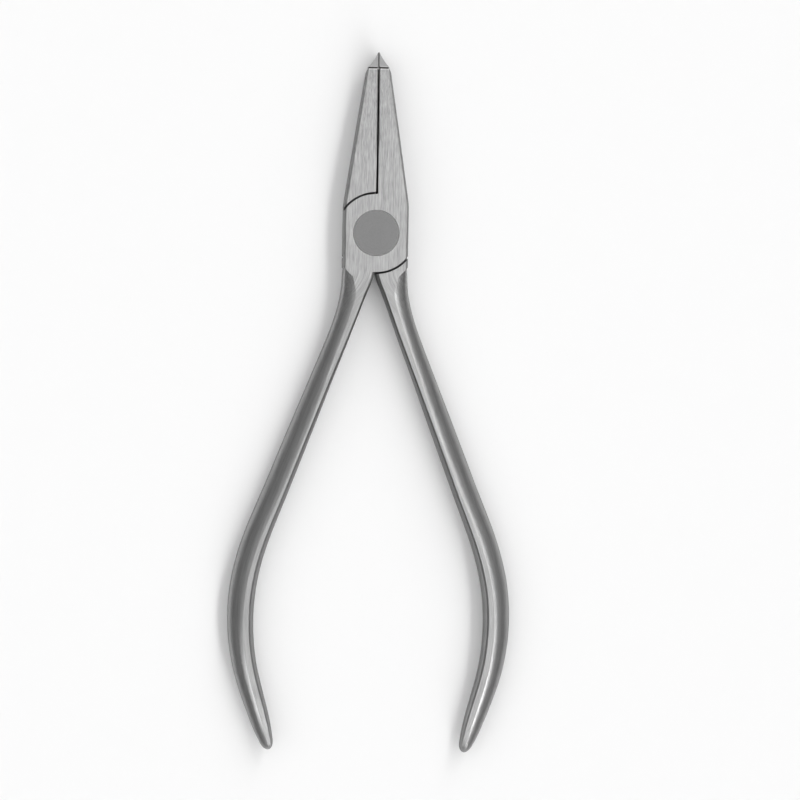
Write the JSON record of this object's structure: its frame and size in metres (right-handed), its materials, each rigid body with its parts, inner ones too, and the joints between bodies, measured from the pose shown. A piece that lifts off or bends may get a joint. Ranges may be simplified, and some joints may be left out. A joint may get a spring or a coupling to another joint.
{
  "type": "orthodontic pliers",
  "caption": "Slim lap-joint pliers with straight tapering jaws, pointed hard tips and long bowed handles, for bending and gripping fine wire.",
  "frame": {"origin": "on the pivot axis, at the flat back face of the joint that the pliers rest on", "axes": "+Z along the pivot axis, out of the front face; +Y along the pliers towards the tips; +X towards the jaw of the front lever"},
  "size_m": [0.0546, 0.1351, 0.0082],
  "materials": {
    "lever_steel": "brushed faces, satin handles",
    "screw_steel": "fine matte",
    "tip_carbide": "fine ground",
    "braze_alloy": "dull"
  },
  "bodies": {
    "back_half": {"back_lever": "lever_steel", "pivot_screw": "screw_steel", "back_braze_seam": "braze_alloy", "back_tip_insert": "tip_carbide"},
    "front_half": {"front_lever": "lever_steel", "front_braze_seam": "braze_alloy", "front_tip_insert": "tip_carbide"}
  },
  "joints": [
    {"name": "pivot", "type": "hinge", "parent": "back_half", "child": "front_half", "pos_m": [0, 0, 0], "axis": [0, 0, -1], "range_deg": [0, 75]}
  ]
}
